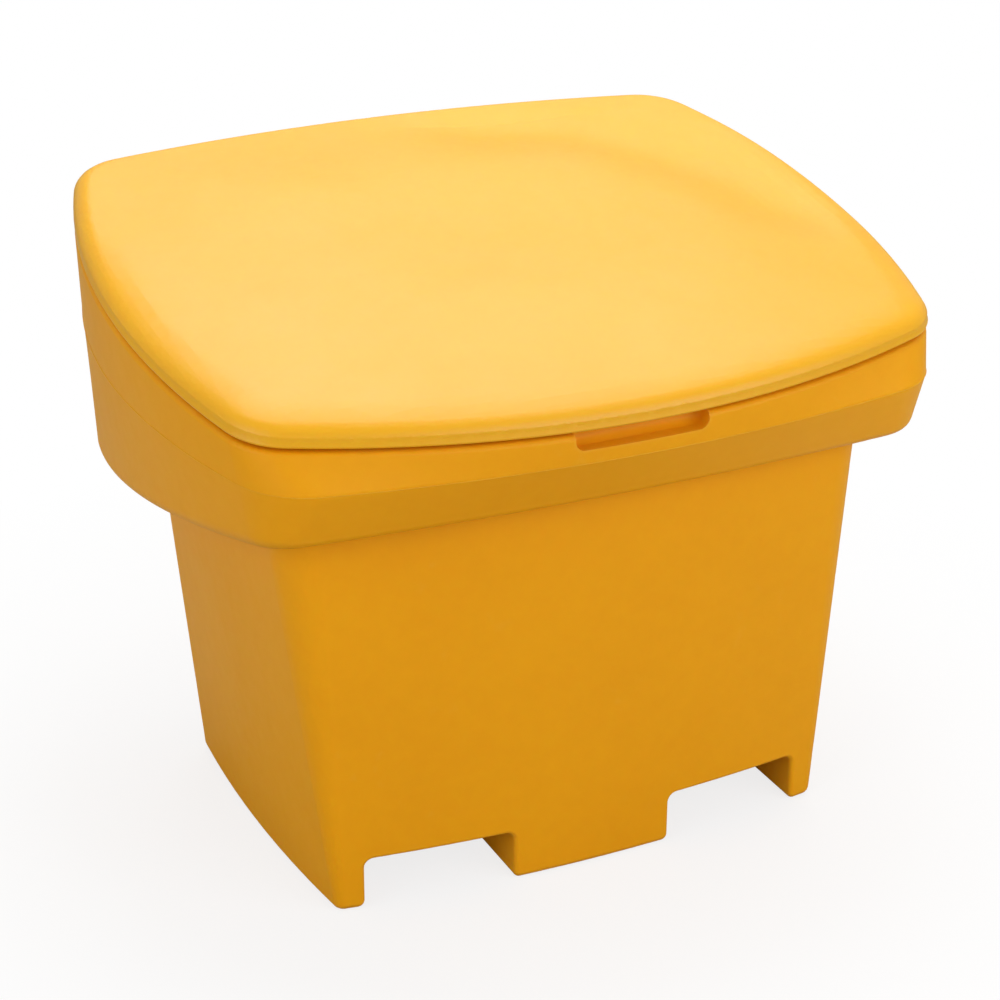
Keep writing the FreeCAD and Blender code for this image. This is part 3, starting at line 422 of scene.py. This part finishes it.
@dataclass(frozen=True)
class MouldedPlastic(Finish):
    """Satin polyethylene as it leaves a rotational mould."""

    # Lighter colour for outer edges and scuffs; on the edges it is partly a painted highlight.
    rubbed_and_highlight: tuple[float, float, float] = (0.95, 0.52, 0.08)
    dust: tuple[float, float, float] = (0.62, 0.45, 0.22)
    edge_radius: float = 0.007
    edge_share: float = 0.30
    edge_smoother: float = 0.05
    dust_share: float = 0.05
    scuff_share: float = 0.10
    scuff_rougher: float = 0.12
    mottle_smoother: float = 0.03
    mottle_rougher: float = 0.04
    bump: float = 0.22
    bump_distance: float = 0.0004
    refraction: float = 1.5
    specular: float = 0.3
    milky: float = 0.3
    milky_radius: tuple[float, float, float] = (1.0, 0.45, 0.06)
    milky_scale: float = 0.004

    def paint(self, graph: Graph, shader: bpy.types.Node) -> None:
        """Wire the skin's grain, mottle, lightened edges, which are partly rubbed wear and partly a
        painted highlight, and light dust.
        """
        place = graph.add("TexCoord")
        spot = place.outputs["Object"]
        grain = self.group(graph, skin_grain_group, "skin_grain",
                           {"Vector": spot, "Pits": 0.25, "Peel": 0.55, "Waves": 6.0})
        marks = self.group(graph, marks_and_highlight_group, "handling_and_highlight",
                           {"Vector": spot, "Normal": place.outputs["Normal"],
                            "Edge Radius": self.edge_radius})
        colour = graph.blend(grain.outputs["Mottle"], (*self.shade, 1.0), (*self.deep, 1.0))
        # Outer edges are lightened towards the rubbed colour: partly rubbed wear, partly a painted
        # highlight along the edges.
        edge_lightening = graph.math("MULTIPLY", marks.outputs["Edge"], self.edge_share)
        colour = graph.blend(edge_lightening, colour, (*self.rubbed_and_highlight, 1.0))
        dusty = graph.math("MULTIPLY", marks.outputs["Dust"], self.dust_share)
        colour = graph.blend(dusty, colour, (*self.dust, 1.0))
        scuffed = graph.math("MULTIPLY", marks.outputs["Scuff"], self.scuff_share)
        graph.feed(shader.inputs["Base Color"], graph.blend(scuffed, colour, (*self.rubbed_and_highlight, 1.0)))
        rough = graph.remap(grain.outputs["Mottle"], low=0.0, high=1.0,
                            to_low=self.roughness - self.mottle_smoother,
                            to_high=self.roughness + self.mottle_rougher)
        rough = graph.math("ADD", rough,
                           graph.math("MULTIPLY", marks.outputs["Scuff"], self.scuff_rougher))
        polish = graph.math("MULTIPLY", marks.outputs["Edge"], self.edge_smoother)
        graph.feed(shader.inputs["Roughness"], graph.math("SUBTRACT", rough, polish))
        shader.inputs["IOR"].default_value = self.refraction
        shader.inputs["Subsurface Weight"].default_value = self.milky
        shader.inputs["Subsurface Radius"].default_value = self.milky_radius
        shader.inputs["Subsurface Scale"].default_value = self.milky_scale
        shader.inputs["Specular IOR Level"].default_value = self.specular
        self.emboss(graph, shader, grain.outputs["Height"], self.bump, self.bump_distance)


@dataclass(frozen=True)
class SheetMetal(Finish):
    """Brushed or plated metal, with lines along the piece."""

    stretch: tuple[float, float, float] = (60.0, 1400.0, 1400.0)
    edge_radius: float = 0.0006
    edge_share: float = 0.5
    cloud_share: float = 0.6
    line_share: float = 0.4
    smoother: float = 0.06
    rougher: float = 0.09
    bump: float = 0.12
    bump_distance: float = 0.0001

    def paint(self, graph: Graph, shader: bpy.types.Node) -> None:
        """Wire the metal's lines, clouds and rubbed edges."""
        place = graph.add("TexCoord")
        spot = place.outputs["Object"]
        lines = self.group(graph, brushed_group, "brushed_lines",
                           {"Vector": spot, "Stretch": self.stretch})
        marks = self.group(graph, marks_and_highlight_group, "handling_and_highlight",
                           {"Vector": spot, "Normal": place.outputs["Normal"],
                            "Edge Radius": self.edge_radius})
        cloud = graph.noise(spot, scale=70.0, detail=4.0, roughness=0.6)
        cloud = graph.remap(cloud, low=0.35, high=0.65)
        share = graph.math("ADD", graph.math("MULTIPLY", cloud, self.cloud_share),
                           graph.math("MULTIPLY", lines.outputs["Shade"], self.line_share))
        colour = graph.blend(share, (*self.shade, 1.0), (*self.deep, 1.0))
        edge_lightening = graph.math("MULTIPLY", marks.outputs["Edge"], self.edge_share)
        graph.feed(shader.inputs["Base Color"], graph.blend(edge_lightening, colour, (*self.shade, 1.0)))
        shader.inputs["Metallic"].default_value = 1.0
        graph.feed(shader.inputs["Roughness"],
                   graph.remap(share, low=0.0, high=1.0, to_low=self.roughness - self.smoother,
                               to_high=self.roughness + self.rougher))
        self.emboss(graph, shader, lines.outputs["Height"], self.bump, self.bump_distance)


@dataclass(frozen=True)
class Rubber(Finish):
    """Soft black rubber with a dull bloom."""

    smoother: float = 0.08
    rougher: float = 0.06
    bump: float = 0.3
    bump_distance: float = 0.0002

    def paint(self, graph: Graph, shader: bpy.types.Node) -> None:
        """Wire the rubber's bloom and fine grain."""
        spot = graph.add("TexCoord").outputs["Object"]
        grain = self.group(graph, skin_grain_group, "skin_grain",
                           {"Vector": spot, "Pits": 1.0, "Peel": 0.5, "Waves": 0.0})
        bloom = graph.noise(spot, scale=160.0, detail=4.0, roughness=0.6)
        bloom = graph.remap(bloom, low=0.4, high=0.7)
        graph.feed(shader.inputs["Base Color"],
                   graph.blend(bloom, (*self.shade, 1.0), (*self.deep, 1.0)))
        graph.feed(shader.inputs["Roughness"],
                   graph.remap(bloom, low=0.0, high=1.0, to_low=self.roughness - self.smoother,
                               to_high=self.roughness + self.rougher))
        self.emboss(graph, shader, grain.outputs["Height"], self.bump, self.bump_distance)


TUB_SKIN = MouldedPlastic(Slot.TUB_SKIN, shade=(0.93, 0.405, 0.004), deep=(0.89, 0.375, 0.0035),
                          roughness=0.46, specular=0.16)
# The lid's shades are yellower than the tub's: painted light, which stands in for the paler look of
# the brightly lit lid top.
LID_SKIN = MouldedPlastic(Slot.LID_SKIN, shade=(0.90, 0.452, 0.005), deep=(0.87, 0.430, 0.004),
                          roughness=0.36, specular=0.42)
STAINLESS = SheetMetal(Slot.STAINLESS, shade=(0.66, 0.66, 0.64), deep=(0.52, 0.52, 0.51),
                       roughness=0.34)
PLATED = SheetMetal(Slot.PLATED, shade=(0.62, 0.63, 0.64), deep=(0.44, 0.46, 0.50),
                    roughness=0.36, stretch=(260.0, 260.0, 260.0))
BRASS = SheetMetal(Slot.BRASS, shade=(0.78, 0.57, 0.25), deep=(0.62, 0.42, 0.16),
                   roughness=0.33, stretch=(900.0, 900.0, 120.0))
RUBBER = Rubber(Slot.RUBBER, shade=(0.022, 0.022, 0.023), deep=(0.048, 0.048, 0.050),
                roughness=0.68)


@dataclass
class MouldedShell:
    """A rotomoulded shell, taken from its CAD node and smoothed as one skin."""

    node: str
    body: str
    finish: MouldedPlastic
    fold: float = 32.0
    even_weight: int = 60

    def build(self) -> bpy.types.Object:
        """Join the node's triangles, even out its shading and dress it.

        Returns:
            The finished shell.
        """
        shell = merged_copy(self.node, self.node + "_shell")
        self.shape(shell)
        smooth(shell, self.fold)
        weighted = shell.modifiers.new("even_shading", "WEIGHTED_NORMAL")
        weighted.keep_sharp = True
        weighted.weight = self.even_weight
        apply_modifiers(shell)
        return dress(shell, self.finish, self.body, (self.node,))

    def shape(self, shell: bpy.types.Object) -> None:
        """Shape the skin further. The plain shell keeps its CAD form."""


@dataclass
class LidShell(MouldedShell):
    """The lid's outer skin, with its soft front roll and the shallow sink of its top.

    Places on the lid are measured in its own tilted plane: across it, along it from front to
    rear (reach), out of it, and inward from its outline. Lengths are in metres.
    """

    tilt: float = 9.4
    centre: tuple[float, float, float] = (0.0, -0.000817, 0.696433)
    top_facing: float = 0.02
    roll_start: float = 0.008
    roll_radius: float = 0.022
    outline_low: float = 0.002
    outline_slack: float = 0.001
    soft_reach: float = 0.052
    soft_until: float = 0.25
    soft_fade: float = 0.30
    ramp_start: float = 0.0002
    ramp_run: float = 0.0015
    edge_lean: float = 0.0020
    lean_reach: float = 0.020
    half_width_squared: float = 0.240
    half_depth_squared: float = 0.156
    cut_step: float = 0.012
    cut_reach: float = 0.5
    sink_path: tuple[tuple[float, float], ...] = (
        (0.13, 0.315), (0.24, 0.265), (0.31, 0.185), (0.375, 0.10), (0.40, 0.0))
    sink_depth: float = 0.012
    sink_spread: float = 0.082
    sink_border: float = 0.012
    sink_fade: float = 0.05

    def shape(self, shell: bpy.types.Object) -> None:
        """Refine the top skin, ease its front roll and let its rear right part sink a little."""
        angle = math.radians(self.tilt)
        centre = Vector(self.centre)
        out = Vector((0.0, -math.sin(angle), math.cos(angle)))
        back = Vector((0.0, math.cos(angle), math.sin(angle)))
        keep_outer_skin(shell)
        top = {face.index for face in shell.data.polygons
               if face.normal.dot(out) > self.top_facing
               and (face.center - centre).dot(out) > self.roll_start}
        outline_high = self.roll_start + self.outline_slack
        edge = [vertex.co for vertex in shell.data.vertices
                if self.outline_low < (vertex.co - centre).dot(out) < outline_high]
        rim = outline_tree([Vector((place.x, (place - centre).dot(back))) for place in edge])
        self.refine(shell, top, back)
        for vertex in shell.data.vertices:
            if vertex.select:
                reach, across = (vertex.co - centre).dot(back), vertex.co.x
                inward = rim.find((across, reach, 0.0))[2]
                sideways = Vector((across / self.half_width_squared, 0.0, 0.0))
                outwards = (sideways + back * (reach / self.half_depth_squared)).normalized()
                near_edge = max(1.0 - inward / self.lean_reach, 0.0)
                lean = self.front_share(reach) * near_edge ** 2
                vertex.co -= outwards * (self.edge_lean * lean)
                rise = self.roll_ease(inward, reach) - self.sink(across, reach, inward)
                vertex.co += out * rise
        ready_mesh(shell, "VERT")

    def refine(self, shell: bpy.types.Object, top: set[int], back: Vector) -> None:
        """Cut the top skin into small cells, and leave its corners selected.

        Args:
            shell: the lid.
            top: the numbers of the top skin's faces.
            back: the direction up the lid towards its hinges.
        """
        ready_mesh(shell)
        pick_faces(shell, lambda face: face.index in top)
        bpy.ops.mesh.hide(unselected=True)
        count = int(self.cut_reach / self.cut_step)
        for normal in (Vector((1.0, 0.0, 0.0)), back):
            for step in range(-count, count + 1):
                spot = Vector(self.centre) + normal * (self.cut_step * step)
                bpy.ops.mesh.select_all(action="SELECT")
                bpy.ops.mesh.bisect(plane_co=spot, plane_no=normal)
        bpy.ops.mesh.select_all(action="SELECT")
        bpy.ops.mesh.select_mode(type="VERT")
        bpy.ops.object.mode_set(mode="OBJECT")

    def front_share(self, reach: float) -> float:
        """Give how much of the soft roll a place has: all at the front, none at the hinges."""
        share = clamp((self.soft_until - reach) / self.soft_fade)
        return share * share * (3.0 - 2.0 * share)

    def roll_ease(self, inward: float, reach: float) -> float:
        """Give how far the roll's skin moves out, below zero, so that the roll is wide and soft.

        Args:
            inward: the distance from the lid's outline.
            reach: the place along the lid, from front to rear.
        """
        share = self.front_share(reach)

        def height(width: float) -> float:
            left = max(1.0 - inward / width, 0.0)
            return self.roll_radius * math.sqrt(1.0 - left * left)

        share *= clamp((inward - self.ramp_start) / self.ramp_run)
        return share * (height(self.soft_reach) - height(self.roll_radius))

    def sink(self, across: float, reach: float, inward: float) -> float:
        """Give the depth of the shallow sink at a place on the top skin."""
        place = Vector((across, reach))
        nearest = math.inf
        for start, end in zip(self.sink_path, self.sink_path[1:]):
            first, run = Vector(start), Vector(end) - Vector(start)
            along = clamp((place - first).dot(run) / run.length_squared)
            nearest = min(nearest, (place - first - run * along).length)
        fade = clamp((inward - self.sink_border) / self.sink_fade)
        return self.sink_depth * math.exp(-(nearest / self.sink_spread) ** 2) * fade


@dataclass
class PartingLine:
    """The fine bead of flash that the mould's two halves leave along the collar's fold."""

    node: str = "tub"
    height: float = 0.603
    tilt: float = 1.7
    bead: float = 0.0007
    corner_gap: float = 0.001
    fold: float = 60.0

    def build(self) -> bpy.types.Object:
        """Cut the tub's outline at the fold and lay the bead along it.

        Returns:
            The finished bead, which stands for no CAD node.
        """
        line = merged_copy(self.node, "collar_parting_line")
        select_whole(line)
        angle = math.radians(self.tilt)
        bpy.ops.mesh.bisect(plane_co=(0.0, 0.0, self.height), clear_inner=True, clear_outer=True,
                            plane_no=(0.0, -math.sin(angle), math.cos(angle)))
        bpy.ops.object.mode_set(mode="OBJECT")
        keep_outer_skin(line)
        select_whole(line, "VERT")
        bpy.ops.mesh.remove_doubles(threshold=self.corner_gap)
        bpy.ops.object.mode_set(mode="OBJECT")
        bpy.ops.object.convert(target="CURVE")
        line.data.bevel_depth = self.bead
        line.data.bevel_resolution = 1
        bpy.ops.object.convert(target="MESH")
        smooth(line, self.fold)
        return dress(line, TUB_SKIN, TUB_BODY)


@dataclass
class PressedPart:
    """A pressed, turned or moulded small part, with the fine rounding of its real edges."""

    node: str
    body: str
    finish: Finish
    edge_round: float
    segments: int = 2
    flat_angle: float = 0.6
    sharp_angle: float = 35.0
    fold: float = 40.0

    def build(self) -> bpy.types.Object:
        """Round the sharp edges of the node's copy and dress it.

        Returns:
            The finished part.
        """
        part = merged_copy(self.node, self.node + "_part")
        select_whole(part)
        bpy.ops.mesh.dissolve_limited(angle_limit=math.radians(self.flat_angle))
        bpy.ops.object.mode_set(mode="OBJECT")
        rounding = part.modifiers.new("edge_round", "BEVEL")
        rounding.width = self.edge_round
        rounding.segments = self.segments
        rounding.limit_method = "ANGLE"
        rounding.angle_limit = math.radians(self.sharp_angle)
        rounding.use_clamp_overlap = True
        apply_modifiers(part)
        smooth(part, self.fold)
        return dress(part, self.finish, self.body, (self.node,))


@dataclass(frozen=True)
class Softbox:
    """A soft rectangular lamp, with its places and size in metres and its power in watts."""

    name: str
    place: tuple[float, float, float]
    aim: tuple[float, float, float]
    size: tuple[float, float]
    power: float

    def hang(self) -> None:
        """Hang the lamp at its place, facing its aim."""
        data = bpy.data.lights.new(self.name, "AREA")
        data.shape = "RECTANGLE"
        data.size, data.size_y = self.size
        data.energy = self.power
        lamp = bpy.data.objects.new(self.name, data)
        bpy.context.scene.collection.objects.link(lamp)
        lamp.location = self.place
        facing = Vector(self.aim) - Vector(self.place)
        lamp.rotation_euler = facing.to_track_quat("-Z", "Y").to_euler()


SOFTBOXES = (
    Softbox("overhead_softbox", (0.55, 0.75, 3.1), (0.0, 0.0, 0.6), size=(2.8, 2.2), power=58.0),
    Softbox("rear_softbox", (1.5, 2.9, 3.1), (0.0, 0.0, 0.7), size=(2.8, 1.8), power=17.0),
    Softbox("front_softbox", (1.6, -3.5, 1.9), (0.0, 0.0, 0.4), size=(3.6, 2.2), power=70.0),
    Softbox("side_softbox", (-3.4, -1.2, 1.8), (0.0, 0.0, 0.4), size=(3.0, 2.4), power=44.0),
)


@dataclass
class Studio:
    """A plain pale floor, soft lamps and the camera at the photograph's viewing angle.

    Up to white_from metres from the middle, the camera sees the floor as floor_white parts plain
    white and the rest lit, so the bin's shadow shows. From white_at on it sees plain white.
    """

    camera_place: tuple[float, float, float] = (-1.292892, -2.72127, 1.722352)
    yaw: float = 25.546
    pitch: float = -24.061
    roll: float = 0.242
    lens: float = 92.39
    sensor_width: float = 36.0
    floor_reach: float = 30.0
    floor_drop: float = 0.0006
    floor_grey: tuple[float, float, float, float] = (0.45, 0.45, 0.45, 1.0)
    floor_pale: tuple[float, float, float, float] = (0.9, 0.9, 0.9, 1.0)
    floor_white: float = 0.80
    white_from: float = 0.55
    white_at: float = 1.15
    room_light: float = 0.38
    mirrored_light: float = 0.10

    def build(self) -> None:
        """Set up the floor, world, lamps, camera and plain view transform."""
        self.lay_floor()
        self.light_world()
        for softbox in SOFTBOXES:
            softbox.hang()
        self.aim_camera()
        bpy.context.scene.view_settings.view_transform = "Standard"
        log.info("studio: floor, world, %d lamps and camera", len(SOFTBOXES))

    def lay_floor(self) -> None:
        """Lay a floor that is nearly white to the camera and plain grey to all other rays."""
        deselect_everything()
        bpy.ops.mesh.primitive_plane_add(size=2 * self.floor_reach,
                                         location=(0.0, 0.0, -self.floor_drop))
        floor = bpy.context.object
        floor.name = "studio_floor"
        settle_place(floor)
        made = bpy.data.materials.new("pale_floor")
        made.use_nodes = True
        made.node_tree.nodes.clear()
        graph = Graph(made.node_tree)
        seen = graph.add("LightPath").outputs["Is Camera Ray"]
        pale = graph.blend(seen, self.floor_grey, self.floor_pale)
        matte = graph.add("BsdfDiffuse", {"Color": pale})
        white = graph.add("Emission", {"Color": (1.0, 1.0, 1.0, 1.0), "Strength": 1.0})
        spot = graph.add("TexCoord").outputs["Object"]
        away = graph.add("VectorMath", {0: spot}, operation="LENGTH").outputs["Value"]
        white_share = graph.remap(away, low=self.white_from, high=self.white_at,
                                  to_low=self.floor_white)
        seen = graph.math("MULTIPLY", seen, white_share)
        mixed = graph.add("MixShader", {0: seen, 1: matte.outputs[0], 2: white.outputs[0]})
        graph.add("OutputMaterial", {"Surface": mixed.outputs[0]})
        floor.data.materials.append(made)

    def light_world(self) -> None:
        """Fill the room with even light, and show white wherever the bin isn't."""
        world = bpy.data.worlds.new("studio_room")
        bpy.context.scene.world = world
        world.use_nodes = True
        world.node_tree.nodes.clear()
        graph = Graph(world.node_tree)
        rays = graph.add("LightPath").outputs
        mirrored = graph.math("MAXIMUM", rays["Is Glossy Ray"], rays["Is Transmission Ray"])
        strength = graph.math("ADD", self.room_light,
                              graph.math("MULTIPLY", mirrored, self.mirrored_light))
        strength = graph.math("MAXIMUM", strength, rays["Is Camera Ray"])
        room = graph.add("Background", {"Color": (1.0, 1.0, 1.0, 1.0), "Strength": strength})
        graph.add("OutputWorld", {"Surface": room.outputs[0]})

    def aim_camera(self) -> None:
        """Stand the camera where the photograph was taken from."""
        data = bpy.data.cameras.new("photo_camera")
        data.sensor_width = self.sensor_width
        data.lens = self.lens
        camera = bpy.data.objects.new("photo_camera", data)
        bpy.context.scene.collection.objects.link(camera)
        yaw, pitch, roll = (math.radians(angle) for angle in (self.yaw, self.pitch, self.roll))
        flat = math.cos(pitch)
        ahead = Vector((math.sin(yaw) * flat, math.cos(yaw) * flat, math.sin(pitch)))
        level = ahead.cross(Vector((0.0, 0.0, 1.0))).normalized()
        upright = level.cross(ahead)
        right = level * math.cos(roll) + upright * math.sin(roll)
        up = upright * math.cos(roll) - level * math.sin(roll)
        turn = Matrix((right, up, -ahead)).transposed().to_4x4()
        camera.matrix_world = Matrix.Translation(Vector(self.camera_place)) @ turn
        bpy.context.scene.camera = camera


@dataclass
class GritBin:
    """The whole bin: two shells, their hinges and the small parts."""

    shells: tuple[MouldedShell, ...]
    parts: tuple[PressedPart, ...]
    parting_line: PartingLine

    def build(self) -> None:
        """Build every sub-assembly in the order that the bin is put together."""
        for piece in self.shells + self.parts:
            piece.build()
        self.parting_line.build()


def bin_pieces() -> GritBin:
    """List the bin's pieces with their bodies and finishes."""
    sides = ("left", "right")
    leaves = [PressedPart("hinge_%s_leaf_%s" % (kind, side), body, STAINLESS, edge_round=0.0004)
              for side in sides
              for kind, body in (("body", TUB_BODY), ("lid", LID_BODY))]
    pins = [PressedPart("hinge_pin_" + side, TUB_BODY, STAINLESS, edge_round=0.0005)
            for side in sides]
    plates = [PressedPart("backing_plate_" + side, TUB_BODY, STAINLESS, edge_round=0.0004)
              for side in sides]
    small = [
        PressedPart("body_leaf_bolts", TUB_BODY, PLATED, edge_round=0.0003),
        PressedPart("body_leaf_washers", TUB_BODY, PLATED, edge_round=0.00015),
        PressedPart("body_leaf_nuts", TUB_BODY, PLATED, edge_round=0.0004),
        PressedPart("lid_leaf_screws", LID_BODY, PLATED, edge_round=0.0002),
        PressedPart("lid_inserts", LID_BODY, BRASS, edge_round=0.0002),
        PressedPart("rim_buffers", TUB_BODY, RUBBER, edge_round=0.0003),
    ]
    shells = (MouldedShell("tub", TUB_BODY, TUB_SKIN), LidShell("lid", LID_BODY, LID_SKIN))
    return GritBin(shells, tuple(leaves + pins + plates + small), PartingLine())


def main() -> None:
    logging.basicConfig(level=logging.INFO, format="%(name)s: %(message)s")
    bin_pieces().build()
    Studio().build()
    deselect_everything()


if __name__ == "__main__":
    main()
